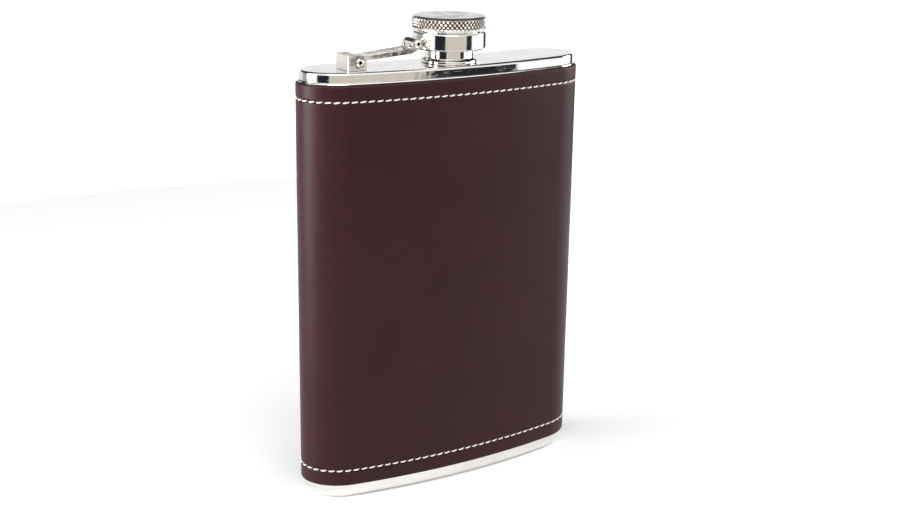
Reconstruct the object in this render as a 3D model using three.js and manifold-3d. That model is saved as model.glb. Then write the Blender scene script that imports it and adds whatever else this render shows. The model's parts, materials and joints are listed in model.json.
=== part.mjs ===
// A curved steel hip flask in a stitched leather wrap, with a captive screw cap on a hinged arm.
// Millimetres, +Z up. X runs across the flask, the convex side faces -Y, and the base rests on Z = 0.

import * as THREE from 'three';
import { mergeVertices } from 'three/addons/utils/BufferGeometryUtils.js';
import Module from 'manifold-3d';

const wasm = await Module();
wasm.setup();

// ---- driving dimensions ----------------------------------------------------------------------

// body outline, measured over the leather
const WRAP_WIDTH = 95;
const WRAP_DEPTH = 21.6;
const BEND_RADIUS = 200; // radius of the curve that the body's middle surface follows
const END_REACH = 13.2; // how far each rounded end runs past the straight part of the curve

// heights above the base
const BODY_HEIGHT = 129.5; // top of the steel shoulder
const WRAP_BOTTOM = 4.6;
const WRAP_TOP = 125.9;
const BOTTOM_ROW = 9.5; // middle of the lower row of stitches
const TOP_ROW = 121.4;

// leather and its thread
const WRAP_THICKNESS = 1.0;
const WRAP_SLIT = 0.4; // butt joint of the wrap, at the middle of the back
const GROOVE_DEPTH = 0.4;
const GROOVE_WIDTH = 1.0;
const THREAD_WIDTH = 0.8;
const THREAD_TOP = 0.05; // thread surface below the leather surface
const THREAD_FLOOR = 0.35;
const SEAM_ROW_X = 3.5; // rows of stitches on both sides of the slit
const ROW_GAP = 0.9; // clear length between a level row and the upright row beside it

// sheet steel of the body
const STEEL_INSET = 1.15; // steel surface below the leather surface
const STEEL_WALL = 0.6;
const SEAM_OVERLAP = 1.5; // the welds lie this far under the edges of the leather
const WELD_GAP = 0.05;
const SHOULDER_EDGE = 0.8; // radius of the upper edge
const BASE_EDGE = 2.3;
const BASE_RECESS = 0.5;
const BASE_RIM = 4; // width of the flat rim that the flask stands on
const BASE_FLOOR = 1.2;

// spout, heights above the shoulder
const NECK_RADIUS = 7.2;
const NECK_BORE = 5.6;
const NECK_SPIGOT = 6.4;
const NECK_HOLE = 6.5;
const SPIGOT_LENGTH = 1.6;
const NECK_FLANGE_RADIUS = 8.3;
const NECK_FLANGE_HEIGHT = 1.2;
const NECK_PLAIN_TOP = 4.3;
const NECK_TOP = 8.0;
const NECK_THREAD_ROOT = 6.5;
const NECK_THREAD_CREST = 6.9;
const THREAD_PITCH = 1.7;

// screw cap, heights above the shoulder
const HEAD_RADIUS = 11;
const HEAD_BOTTOM = 9.7;
const HEAD_TOP = 13.7;
const HEAD_RECESS_RADIUS = 8.0;
const HEAD_RECESS_TOP = 12.5;
const BARREL_RADIUS = 9.0;
const BARREL_BOTTOM = 4.45;
const BARREL_SHOULDER = 9.65;
const BARREL_TOP = 12.45;
const BARREL_BORE = 7.35;
const BARREL_THREAD_ROOT = 7.75;
const BARREL_BORE_TOP = 9.4;
const SEAL_RADIUS = 6.9;
const SEAL_BOTTOM = 8.15;
const SEAL_TOP = 9.35;
const RING_GROOVE_RADIUS = 8.4;
const RING_INNER = 8.5;
const RING_OUTER = 9.75;
const RING_BOTTOM = 5.05;
const RING_TOP = 5.45;
const RING_SLACK = 0.1;
const RING_MOUTH = 5; // opening of the spring ring

// collar that turns freely around the cap's barrel
const COLLAR_RADIUS = 10.9;
const COLLAR_BORE = 9.3;
const COLLAR_COUNTERBORE = 10.0;
const COLLAR_BOTTOM = 4.2;
const COLLAR_STEP = 5.65;
const COLLAR_TOP = 9.2;
const LUG_WIDTH = 4.2;
const LUG_RADIUS = 1.45;

// arm and hinge, places from the neck's axis and the top of the shoulder
const LOWER_PIVOT = { x: -31.8, z: 2.2 };
const UPPER_PIVOT = { x: -12.4, z: 6.2 };
const ARM_WIDTH = 6.4;
const ARM_SHEET = 0.7;
const ARM_EYE_RADIUS = 1.45;
const ARM_FLANGE = { low: 1.2, high: 1.5 }; // depth of the sides at the two ends of the web
const WEB_START = { x: -30.6, z: 3.66 };
const WEB_END = { x: -14.4, z: 5.09 };
const PIN_RADIUS = 0.85;
const PIN_HEAD_RADIUS = 1.15;
const PIN_HEAD_HEIGHT = 0.35;
const PIN_HEAD_GAP = 0.05;
const FIXED_HOLE = 0.95;
const RUNNING_HOLE = 1.05;
const BRACKET_WIDTH = 7.8;
const BRACKET_SHEET = 0.6;
const BRACKET_BACK = -35.6;
const BRACKET_EYE_RADIUS = 2.2;
const BRACKET_LIFT = 0.05;

const OUTLINE_STEPS = 9; // each quarter of the body's outline has twice as many points
const ROUND_STEPS = 36;
const PIN_STEPS = 16;
const FAR = 200; // longer than the flask, for cutting blocks

// ---- materials -------------------------------------------------------------------------------

const steel = (shade) => new THREE.MeshStandardMaterial({ color: shade, roughness: 0.18, metalness: 1 });
const leather = new THREE.MeshStandardMaterial({ color: 0x3f1f24, roughness: 0.45, metalness: 0 });
const thread = () => new THREE.MeshStandardMaterial({ color: 0xe9e4dc, roughness: 0.8, metalness: 0 });
const silicone = new THREE.MeshStandardMaterial({ color: 0xe6e6e0, roughness: 0.6, metalness: 0 });

// ---- solids ----------------------------------------------------------------------------------

function solidOf(geometry) {
  const bare = geometry.clone();
  bare.deleteAttribute('normal');
  bare.deleteAttribute('uv');
  const merged = mergeVertices(bare, 1e-5);
  return new wasm.Manifold(new wasm.Mesh({
    numProp: 3,
    vertProperties: new Float32Array(merged.attributes.position.array),
    triVerts: new Uint32Array(merged.index.array),
  }));
}

function geometryOf(solid) {
  const mesh = solid.getMesh();
  const geometry = new THREE.BufferGeometry();
  geometry.setAttribute('position', new THREE.BufferAttribute(mesh.vertProperties, 3));
  geometry.setIndex(new THREE.BufferAttribute(mesh.triVerts, 1));
  geometry.computeVertexNormals();
  return geometry;
}

function block(x0, x1, y0, y1, z0, z1) {
  const box = new THREE.BoxGeometry(x1 - x0, y1 - y0, z1 - z0);
  return solidOf(box.translate((x0 + x1) / 2, (y0 + y1) / 2, (z0 + z1) / 2));
}

// a turned piece from its closed [radius, height] profile
function turned(profile, steps = ROUND_STEPS) {
  const points = [...profile, profile[0]].map(([radius, height]) => new THREE.Vector2(radius, height));
  return solidOf(new THREE.LatheGeometry(points, steps).rotateX(Math.PI / 2));
}

// a shape drawn in X and Z, with its thickness centred on Y = 0
function upright(shape, width, steps = PIN_STEPS / 4) {
  const plate = new THREE.ExtrudeGeometry(shape, { depth: width, bevelEnabled: false, curveSegments: steps });
  return solidOf(plate.rotateX(Math.PI / 2).translate(0, width / 2, 0));
}

function crossPin(pivot, radius, width) {
  const disc = new THREE.Shape().absarc(pivot.x, pivot.z, radius, 0, 2 * Math.PI);
  return upright(disc, width, PIN_STEPS / 2);
}

// ---- body outline ----------------------------------------------------------------------------

// the angle of the bend at which the rounded ends begin, from the width
function endAngle() {
  let angle = 0;
  for (let pass = 0; pass < 20; pass += 1) {
    const end = Math.hypot(END_REACH * Math.cos(angle), (WRAP_DEPTH / 2) * Math.sin(angle));
    angle = Math.asin((WRAP_WIDTH / 2 - end) / BEND_RADIUS);
  }
  return angle;
}

const END_ANGLE = endAngle();
const END_X = BEND_RADIUS * Math.sin(END_ANGLE);
const END_Y = BEND_RADIUS * (1 - Math.cos(END_ANGLE));

// the outline at a depth below the leather surface: two arcs and two half ellipses
function bodyOutline(inset) {
  const half = WRAP_DEPTH / 2 - inset;
  const reach = END_REACH - inset;
  const down = -Math.PI / 2;
  return new THREE.Shape()
    .absarc(0, BEND_RADIUS, BEND_RADIUS + half, down - END_ANGLE, down + END_ANGLE, false)
    .absellipse(END_X, END_Y, reach, half, down, -down, false, END_ANGLE)
    .absarc(0, BEND_RADIUS, BEND_RADIUS - half, down + END_ANGLE, down - END_ANGLE, true)
    .absellipse(-END_X, END_Y, reach, half, -down, -3 * down, false, -END_ANGLE);
}

function bodySolid(inset, z0, z1, edge = 0) {
  const prism = new THREE.ExtrudeGeometry(bodyOutline(inset), {
    depth: z1 - z0 - 2 * edge,
    curveSegments: OUTLINE_STEPS,
    bevelEnabled: edge > 0,
    bevelThickness: edge,
    bevelSize: edge,
    bevelOffset: -edge,
    bevelSegments: 1 + Math.ceil(edge),
  });
  return solidOf(prism.translate(0, 0, z0 + edge));
}

function bodyBand(outerInset, innerInset, z0, z1) {
  return bodySolid(outerInset, z0, z1).subtract(bodySolid(innerInset, z0 - 1, z1 + 1));
}

// ---- steel body ------------------------------------------------------------------------------

const LOWER_WELD = WRAP_BOTTOM + SEAM_OVERLAP;
const UPPER_WELD = WRAP_TOP - SEAM_OVERLAP;
const STEEL_INNER = STEEL_INSET + STEEL_WALL;

function bodySleeve() {
  return bodyBand(STEEL_INSET, STEEL_INNER, LOWER_WELD + WELD_GAP, UPPER_WELD - WELD_GAP);
}

function shoulderPan() {
  const outside = bodySolid(STEEL_INSET, BODY_HEIGHT / 2, BODY_HEIGHT, SHOULDER_EDGE);
  const inside = bodySolid(STEEL_INNER, BODY_HEIGHT / 2, BODY_HEIGHT - STEEL_WALL);
  const hole = turned([[0, -FAR], [NECK_HOLE, -FAR], [NECK_HOLE, FAR], [0, FAR]]);
  const below = block(-FAR, FAR, -FAR, FAR, -FAR, UPPER_WELD);
  return outside.subtract(inside).subtract(hole).subtract(below);
}

function basePan() {
  const outside = bodySolid(STEEL_INSET, 0, BODY_HEIGHT / 2, BASE_EDGE);
  const inside = bodySolid(STEEL_INNER, BASE_FLOOR, BODY_HEIGHT / 2, BASE_FLOOR);
  const recess = bodySolid(STEEL_INSET + BASE_EDGE + BASE_RIM, -1, BASE_RECESS);
  const above = block(-FAR, FAR, -FAR, FAR, LOWER_WELD, FAR);
  return outside.subtract(inside).subtract(recess).subtract(above);
}

// thread ridges as closed rings, from the root to the crest and back
function ridges(bottom, top, root, crest) {
  const profile = [];
  for (let z = bottom; z + THREAD_PITCH <= top + 1e-6; z += THREAD_PITCH) {
    profile.push([root, z + 0.2], [crest, z + 0.7], [crest, z + 1], [root, z + 1.5]);
  }
  return profile;
}

function spout() {
  const flange = NECK_FLANGE_RADIUS;
  return turned([
    [NECK_BORE, -SPIGOT_LENGTH],
    [NECK_SPIGOT, -SPIGOT_LENGTH],
    [NECK_SPIGOT, WELD_GAP],
    [flange, WELD_GAP],
    [flange, NECK_FLANGE_HEIGHT - 0.3],
    [flange - 0.3, NECK_FLANGE_HEIGHT],
    [NECK_RADIUS, NECK_FLANGE_HEIGHT + 0.3],
    [NECK_RADIUS, NECK_PLAIN_TOP],
    ...ridges(NECK_PLAIN_TOP, NECK_TOP, NECK_THREAD_ROOT, NECK_THREAD_CREST),
    [NECK_THREAD_ROOT, NECK_TOP],
    [NECK_BORE, NECK_TOP],
  ]);
}

// ---- leather wrap and its stitches -----------------------------------------------------------

const BACK_Y = WRAP_DEPTH / 2;

function levelGroove(height) {
  const band = bodyBand(-1, GROOVE_DEPTH, height - GROOVE_WIDTH / 2, height + GROOVE_WIDTH / 2);
  return band.subtract(block(-SEAM_ROW_X, SEAM_ROW_X, 0, FAR, 0, FAR));
}

function uprightGroove(side) {
  const x = side * SEAM_ROW_X;
  const half = GROOVE_WIDTH / 2;
  return block(x - half, x + half, BACK_Y - GROOVE_DEPTH, FAR, BOTTOM_ROW - half, TOP_ROW + half);
}

function leatherWrap() {
  let wrap = bodyBand(0, WRAP_THICKNESS, WRAP_BOTTOM, WRAP_TOP);
  wrap = wrap.subtract(block(-WRAP_SLIT / 2, WRAP_SLIT / 2, 0, FAR, 0, FAR));
  for (const height of [BOTTOM_ROW, TOP_ROW]) wrap = wrap.subtract(levelGroove(height));
  for (const side of [-1, 1]) wrap = wrap.subtract(uprightGroove(side));
  return wrap;
}

function levelRow(height) {
  const band = bodyBand(THREAD_TOP, THREAD_FLOOR, height - THREAD_WIDTH / 2, height + THREAD_WIDTH / 2);
  return band.subtract(block(-SEAM_ROW_X, SEAM_ROW_X, 0, FAR, 0, FAR));
}

function uprightRow(side) {
  const x = side * SEAM_ROW_X;
  const half = THREAD_WIDTH / 2;
  const strip = block(x - half, x + half, 0, FAR, BOTTOM_ROW + ROW_GAP, TOP_ROW - ROW_GAP);
  return bodyBand(THREAD_TOP, THREAD_FLOOR, 0, BODY_HEIGHT).intersect(strip);
}

// ---- hinge bracket, arm and pins -------------------------------------------------------------

function bracket() {
  const { x, z } = LOWER_PIVOT;
  const side = new THREE.Shape()
    .moveTo(BRACKET_BACK, BRACKET_LIFT)
    .lineTo(x + BRACKET_EYE_RADIUS, BRACKET_LIFT)
    .lineTo(x + BRACKET_EYE_RADIUS, z)
    .absarc(x, z, BRACKET_EYE_RADIUS, 0, Math.PI / 2, false)
    .lineTo(BRACKET_BACK, z + BRACKET_EYE_RADIUS);
  const inner = BRACKET_WIDTH / 2 - BRACKET_SHEET;
  const room = block(BRACKET_BACK + BRACKET_SHEET, 0, -inner, inner, BRACKET_LIFT + BRACKET_SHEET, FAR);
  return upright(side, BRACKET_WIDTH).subtract(room).subtract(crossPin(LOWER_PIVOT, FIXED_HOLE, FAR));
}

// a U channel bent from sheet, with an eye for a pin at each end
function armChannel() {
  const low = LOWER_PIVOT;
  const high = UPPER_PIVOT;
  const lean = Math.atan2(WEB_END.z - WEB_START.z, WEB_END.x - WEB_START.x);
  const side = new THREE.Shape()
    .absarc(low.x, low.z, ARM_EYE_RADIUS, Math.PI * 0.5, Math.PI * 1.9, false)
    .lineTo(WEB_START.x + ARM_EYE_RADIUS, WEB_START.z + ARM_EYE_RADIUS * Math.tan(lean) - ARM_FLANGE.low)
    .lineTo(WEB_END.x, WEB_END.z - ARM_FLANGE.high)
    .absarc(high.x, high.z, ARM_EYE_RADIUS, -Math.PI * 0.295, Math.PI * 0.915, false)
    .lineTo(WEB_END.x, WEB_END.z)
    .lineTo(WEB_START.x, WEB_START.z);
  const underWeb = ARM_SHEET / Math.cos(lean);
  const hollow = new THREE.Shape()
    .moveTo(low.x - 5, low.z - 5)
    .lineTo(high.x + 5, low.z - 5)
    .lineTo(high.x + 5, high.z + 5)
    .lineTo(WEB_END.x, high.z + 5)
    .lineTo(WEB_END.x, WEB_END.z - underWeb)
    .lineTo(WEB_START.x, WEB_START.z - underWeb)
    .lineTo(WEB_START.x, high.z + 5)
    .lineTo(low.x - 5, high.z + 5);
  return upright(side, ARM_WIDTH)
    .subtract(upright(hollow, ARM_WIDTH - 2 * ARM_SHEET))
    .subtract(crossPin(low, RUNNING_HOLE, FAR))
    .subtract(crossPin(high, FIXED_HOLE, FAR));
}

// a headed pin through a pair of cheeks that are this wide outside
function rivet(pivot, cheeks) {
  const inside = cheeks / 2 + PIN_HEAD_GAP;
  const outside = inside + PIN_HEAD_HEIGHT;
  const shank = crossPin(pivot, PIN_RADIUS, 2 * outside);
  const heads = crossPin(pivot, PIN_HEAD_RADIUS, 2 * outside)
    .subtract(crossPin(pivot, PIN_HEAD_RADIUS + 1, 2 * inside));
  return shank.add(heads);
}

// ---- collar and screw cap --------------------------------------------------------------------

function collar() {
  const ring = turned([
    [COLLAR_COUNTERBORE, COLLAR_BOTTOM],
    [COLLAR_RADIUS - 0.4, COLLAR_BOTTOM],
    [COLLAR_RADIUS, COLLAR_BOTTOM + 0.4],
    [COLLAR_RADIUS, COLLAR_TOP - 0.3],
    [COLLAR_RADIUS - 0.3, COLLAR_TOP],
    [COLLAR_BORE, COLLAR_TOP],
    [COLLAR_BORE, COLLAR_STEP],
    [COLLAR_COUNTERBORE, COLLAR_STEP],
  ]);
  const { x, z } = UPPER_PIVOT;
  const root = -COLLAR_COUNTERBORE - 0.3;
  const lug = new THREE.Shape()
    .moveTo(root, z + LUG_RADIUS)
    .lineTo(x, z + LUG_RADIUS)
    .absarc(x, z, LUG_RADIUS, Math.PI / 2, Math.PI * 1.5, false)
    .lineTo(root, z - LUG_RADIUS);
  return ring.add(upright(lug, LUG_WIDTH)).subtract(crossPin(UPPER_PIVOT, RUNNING_HOLE, FAR)
    .subtract(block(root, FAR, -FAR, FAR, -FAR, FAR)));
}

function capHead() {
  return turned([
    [0, HEAD_RECESS_TOP],
    [HEAD_RECESS_RADIUS, HEAD_RECESS_TOP],
    [HEAD_RECESS_RADIUS, HEAD_BOTTOM],
    [HEAD_RADIUS - 0.7, HEAD_BOTTOM],
    [HEAD_RADIUS, HEAD_BOTTOM + 0.5],
    [HEAD_RADIUS, HEAD_TOP - 0.8],
    [HEAD_RADIUS - 0.3, HEAD_TOP - 0.3],
    [HEAD_RADIUS - 1, HEAD_TOP],
    [0, HEAD_TOP],
  ]);
}

function capBarrel() {
  const thread = ridges(BARREL_BOTTOM, SEAL_BOTTOM, BARREL_THREAD_ROOT, BARREL_BORE).reverse();
  return turned([
    [0, BARREL_BORE_TOP],
    [BARREL_BORE, BARREL_BORE_TOP],
    ...thread,
    [BARREL_THREAD_ROOT, BARREL_BOTTOM],
    [BARREL_RADIUS, BARREL_BOTTOM],
    [BARREL_RADIUS, RING_BOTTOM - RING_SLACK],
    [RING_GROOVE_RADIUS, RING_BOTTOM - RING_SLACK],
    [RING_GROOVE_RADIUS, RING_TOP + RING_SLACK],
    [BARREL_RADIUS, RING_TOP + RING_SLACK],
    [BARREL_RADIUS, BARREL_SHOULDER],
    [HEAD_RECESS_RADIUS - WELD_GAP, BARREL_SHOULDER],
    [HEAD_RECESS_RADIUS - WELD_GAP, BARREL_TOP],
    [0, BARREL_TOP],
  ]);
}

function capSeal() {
  return turned([[0, SEAL_BOTTOM], [SEAL_RADIUS, SEAL_BOTTOM], [SEAL_RADIUS, SEAL_TOP], [0, SEAL_TOP]]);
}

function retainingRing() {
  const ring = turned([
    [RING_INNER, RING_BOTTOM], [RING_OUTER, RING_BOTTOM], [RING_OUTER, RING_TOP], [RING_INNER, RING_TOP],
  ]);
  return ring.subtract(block(0, FAR, -RING_MOUTH / 2, RING_MOUTH / 2, -FAR, FAR));
}

// ---- assembly --------------------------------------------------------------------------------

function named(name, solid, material) {
  const mesh = new THREE.Mesh(geometryOf(solid), material);
  mesh.name = name;
  return mesh;
}

const body = new THREE.Group();
body.add(
  named('body_sleeve', bodySleeve(), steel(0xb9b7b3)),
  named('shoulder_pan', shoulderPan(), steel(0xd8d6d2)),
  named('base_pan', basePan(), steel(0xcfccc6)),
  named('leather_wrap', leatherWrap(), leather),
  named('top_stitching', levelRow(TOP_ROW), thread()),
  named('bottom_stitching', levelRow(BOTTOM_ROW), thread()),
  named('seam_stitching_left', uprightRow(-1), thread()),
  named('seam_stitching_right', uprightRow(1), thread()),
);

const closure = new THREE.Group();
closure.position.z = BODY_HEIGHT;
closure.add(
  named('neck', spout(), steel(0xc8c6c0)),
  named('hinge_bracket', bracket(), steel(0xbdb8ae)),
  named('lower_pin', rivet(LOWER_PIVOT, BRACKET_WIDTH), steel(0x8f8b84)),
  named('arm', armChannel(), steel(0xd2cdc2)),
  named('upper_pin', rivet(UPPER_PIVOT, ARM_WIDTH), steel(0x8f8b84)),
  named('collar', collar(), steel(0xdad8d4)),
  named('retaining_ring', retainingRing(), steel(0x77746f)),
  named('cap_barrel', capBarrel(), steel(0xa9a6a0)),
  named('cap_seal', capSeal(), silicone),
  named('cap_head', capHead(), steel(0xe4e2de)),
);

// the origin lies under the middle of the whole box, on the surface that the flask stands on
const flask = new THREE.Group();
flask.add(body, closure);
const middle = new THREE.Box3().setFromObject(flask, true).getCenter(new THREE.Vector3());
flask.position.set(-middle.x, -middle.y, 0);

export default flask;
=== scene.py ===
"""A curved steel hip flask in a stitched leather wrap, with a knurled screw cap on a hinged arm.

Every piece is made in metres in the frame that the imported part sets, in the order in which the flask is made:
the steel body, the leather and its stitches, the spout, the hinge, the collar and the cap.
"""
import json
import math
import bmesh
import bpy
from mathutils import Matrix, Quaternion, Vector, noise


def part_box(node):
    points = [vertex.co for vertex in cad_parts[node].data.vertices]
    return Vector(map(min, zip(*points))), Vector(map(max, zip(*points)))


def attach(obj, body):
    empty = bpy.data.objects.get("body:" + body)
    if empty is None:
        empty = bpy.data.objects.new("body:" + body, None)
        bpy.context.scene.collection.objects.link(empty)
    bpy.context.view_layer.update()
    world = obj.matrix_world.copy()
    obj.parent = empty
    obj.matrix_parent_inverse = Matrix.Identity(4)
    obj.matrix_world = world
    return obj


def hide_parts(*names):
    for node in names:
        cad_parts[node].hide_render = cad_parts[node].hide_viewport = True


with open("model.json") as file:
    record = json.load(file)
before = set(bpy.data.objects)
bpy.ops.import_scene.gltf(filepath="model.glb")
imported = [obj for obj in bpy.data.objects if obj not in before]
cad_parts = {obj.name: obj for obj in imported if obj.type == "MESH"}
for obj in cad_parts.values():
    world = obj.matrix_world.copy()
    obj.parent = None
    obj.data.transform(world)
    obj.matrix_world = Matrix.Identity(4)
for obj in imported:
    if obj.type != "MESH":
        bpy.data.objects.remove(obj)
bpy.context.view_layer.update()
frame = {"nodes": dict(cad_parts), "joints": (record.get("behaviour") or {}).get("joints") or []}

# ---- studio ------------------------------------------------------------------------------------
# The camera stands to the left of the convex side and a little above it, with a long lens.
# A pale round table top lies under the flask, in a tent of soft light with dark gaps in it.

MM = 0.001
AIM = Vector((5.17, -1.42, 67.9)) * MM
VIEW_AZIMUTH = math.radians(-32.7)
VIEW_ELEVATION = math.radians(16.45)
VIEW_ROLL = math.radians(0.98)
VIEW_DISTANCE = 448.5 * MM
LENS = 56.8
SENSOR = 36

back = Vector((
    math.sin(VIEW_AZIMUTH) * math.cos(VIEW_ELEVATION),
    -math.cos(VIEW_AZIMUTH) * math.cos(VIEW_ELEVATION),
    math.sin(VIEW_ELEVATION),
))
camera_data = bpy.data.cameras.new("camera")
camera_data.lens = LENS
camera_data.sensor_width = SENSOR
camera_data.clip_start = 0.01
camera = bpy.data.objects.new("camera", camera_data)
camera.rotation_mode = "QUATERNION"
camera.location = AIM + back * VIEW_DISTANCE
camera.rotation_quaternion = (-back).to_track_quat("-Z", "Y") @ Quaternion((0, 0, 1), VIEW_ROLL)
bpy.context.collection.objects.link(camera)
bpy.context.scene.camera = camera
bpy.context.scene.view_settings.view_transform = "Standard"


class Value:
    """A node socket that carries a number, so that sums on sockets are written as sums."""

    def __init__(self, tree, socket):
        self.tree = tree
        self.socket = socket

    def __add__(self, other):
        return maths("ADD", self, other)

    def __sub__(self, other):
        return maths("SUBTRACT", self, other)

    def __rsub__(self, other):
        return maths("SUBTRACT", other, self)

    def __mul__(self, other):
        return maths("MULTIPLY", self, other)

    def __truediv__(self, other):
        return maths("DIVIDE", self, other)

    __radd__ = __add__
    __rmul__ = __mul__


def maths(operation, first, second):
    """A Math node on two numbers, at least one of which comes from a socket."""
    tree = first.tree if isinstance(first, Value) else second.tree
    node = tree.nodes.new("ShaderNodeMath")
    node.operation = operation
    feed(tree, node.inputs[0], first)
    feed(tree, node.inputs[1], second)
    return Value(tree, node.outputs[0])


def feed(tree, entry, item):
    """Gives a node's input a link from another node, or a value of its own."""
    if isinstance(item, Value):
        tree.links.new(item.socket, entry)
    elif item is not None:
        entry.default_value = item


class Nodes:
    """A node tree that grows one node at a time, settings first and then what goes into its sockets."""

    def __init__(self, tree):
        self.tree = tree
        tree.nodes.clear()

    def add(self, kind, settings=None, inputs=None, output=0):
        node = self.tree.nodes.new("ShaderNode" + kind)
        for name, setting in (settings or {}).items():
            if name == "stops":
                self.set_stops(node.color_ramp, setting)
            else:
                setattr(node, name, setting)
        for name, item in (inputs or {}).items():
            feed(self.tree, node.inputs[name], item)
        return Value(self.tree, node.outputs[output]) if node.outputs else None

    @staticmethod
    def set_stops(ramp, stops):
        while len(ramp.elements) < len(stops):
            ramp.elements.new(1)
        for element, (position, shade) in zip(ramp.elements, stops):
            element.position = position
            element.color = (*shade, 1)

    def smooth(self, value, low, high):
        """0 below low and 1 above high, with a soft step between them."""
        return self.add("MapRange", {"interpolation_type": "SMOOTHSTEP"},
                        {"Value": value, "From Min": low, "From Max": high})

    def blend(self, share, first, second):
        """The first colour where share is 0, and the second where it is 1."""
        return self.add("Mix", {"data_type": "RGBA"}, {0: share, 6: first, 7: second}, output=2)


LAMP = (1.0, 1.0, 1.0)
WHITE = (0.088, 0.088, 0.088)
PALE = (0.060, 0.0595, 0.0605)
CREAM = (0.047, 0.0432, 0.0388)
GREY = (0.028, 0.0275, 0.0275)
DARK = (0.0014, 0.0015, 0.0021)
# the walls of the tent, by the turn in degrees from the convex side towards +X; a shade of 1 is as bright
# as the tent's strength
TENT = [
    (-180, PALE), (-150, PALE), (-142, GREY), (-119, GREY), (-113, LAMP), (-96, LAMP),
    (-93, WHITE), (-78, WHITE), (-75, DARK), (-44, DARK), (-41, CREAM), (34, CREAM),
    (42, WHITE), (101, WHITE), (106, DARK), (122, DARK), (129, PALE), (180, PALE),
]
TENT_STRENGTH = 16.0
FRONT_CEILING = (0.081, 0.081, 0.081, 1)
BACK_CEILING = (0.0038, 0.0038, 0.0044, 1)
CEILING_EDGE = (0.24, 0.32)
# a dark screen stands low and far away, in front and to the right; its soft sides are in degrees of turn,
# its foot and head are sines of the angle above the horizon, and so is the ceiling's edge
SCREEN_LEFT, SCREEN_RIGHT = (23.04, 25.56), (41.76, 46.08)
SCREEN_FOOT, SCREEN_HEAD = (-0.24, -0.21), (-0.10, -0.06)


def share_of_turn(angle):
    return angle / 360 + 0.5


world = bpy.data.worlds.new("light_tent")
bpy.context.scene.world = world
world.use_nodes = True
sky = Nodes(world.node_tree)
direction = sky.add("TexCoord")
across, along, upward = (
    sky.add("SeparateXYZ", inputs={"Vector": direction}, output=axis) for axis in range(3))
turn = maths("ARCTAN2", across, 0 - along) / (2 * math.pi) + 0.5
wall_stops = [(share_of_turn(angle), shade) for angle, shade in TENT]
walls = sky.add("ValToRGB", {"stops": wall_stops}, {"Fac": turn})
past_left, past_right = (sky.smooth(turn, *map(share_of_turn, edge)) for edge in (SCREEN_LEFT, SCREEN_RIGHT))
past_foot, past_head = (sky.smooth(upward, *edge) for edge in (SCREEN_FOOT, SCREEN_HEAD))
screened = sky.blend((past_left - past_right) * (past_foot - past_head), walls, (*DARK, 1))
towards_camera = across * math.sin(VIEW_AZIMUTH) - along * math.cos(VIEW_AZIMUTH)
ceiling = sky.blend(sky.smooth(towards_camera, -0.15, 0.2), BACK_CEILING, FRONT_CEILING)
tent = sky.blend(sky.smooth(upward, *CEILING_EDGE), screened, ceiling)
seen = sky.blend(sky.add("LightPath"), tent, (*WHITE, 1))
glow = sky.add("Background", inputs={"Color": seen, "Strength": TENT_STRENGTH})
sky.add("OutputWorld", inputs={"Surface": glow})

SOFTBOXES = [
    # name, place, aim, size, watts
    ("key_softbox", (-0.62, 0.06, 0.20), (0, 0, 0.07), 0.30, 2.4),
    ("top_softbox", (-0.20, -0.40, 0.65), (0, 0, 0.05), 0.50, 1.6),
    ("right_softbox", (0.62, -0.05, 0.25), (0, 0, 0.07), 0.30, 2.2),
]
for name, place, aim, size, watts in SOFTBOXES:
    away = Vector(place) - Vector(aim)
    bpy.ops.object.light_add(type="AREA", location=place, rotation=away.to_track_quat("Z", "Y").to_euler())
    softbox = bpy.context.object
    softbox.name = name
    softbox.data.size = size
    softbox.data.energy = watts

TABLE_RADIUS = 0.40
bpy.ops.object.select_all(action="DESELECT")
bpy.ops.mesh.primitive_circle_add(vertices=96, radius=TABLE_RADIUS, fill_type="NGON")
table = bpy.context.object
table.name = "table_top"


# ---- finishes ----------------------------------------------------------------------------------
# What the flask is made of: polished sheet, turned steel, plain drawn steel, leather, thread and silicone.

def finish(name):
    """A new material, its node tree, and the coordinates of the piece in metres."""
    material = bpy.data.materials.new(name)
    material.use_nodes = True
    nodes = Nodes(material.node_tree)
    return material, nodes, nodes.add("TexCoord", output=3)


def surface(nodes, inputs):
    shader = nodes.add("BsdfPrincipled", inputs=inputs)
    nodes.add("OutputMaterial", inputs={"Surface": shader})


def stretched(nodes, place, scale):
    return nodes.add("Mapping", inputs={"Vector": place, "Scale": scale})


def clouds(nodes, place, scale, detail=2.0, roughness=0.5):
    return nodes.add("TexNoise", inputs={
        "Vector": place, "Scale": scale, "Detail": detail, "Roughness": roughness})


def bump(nodes, height, distance, strength=1.0, under=None):
    return nodes.add("Bump", inputs={
        "Height": height, "Distance": distance, "Strength": strength, "Normal": under})


def off_axis(nodes, place):
    """How far the surface is from the neck's axis, in metres."""
    centred = nodes.add("VectorMath", {"operation": "SUBTRACT"}, {0: place, 1: NECK_AXIS})
    flat = nodes.add("VectorMath", {"operation": "MULTIPLY"}, {0: centred, 1: (1, 1, 0)})
    return nodes.add("VectorMath", {"operation": "LENGTH"}, {0: flat}, output=1)


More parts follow.
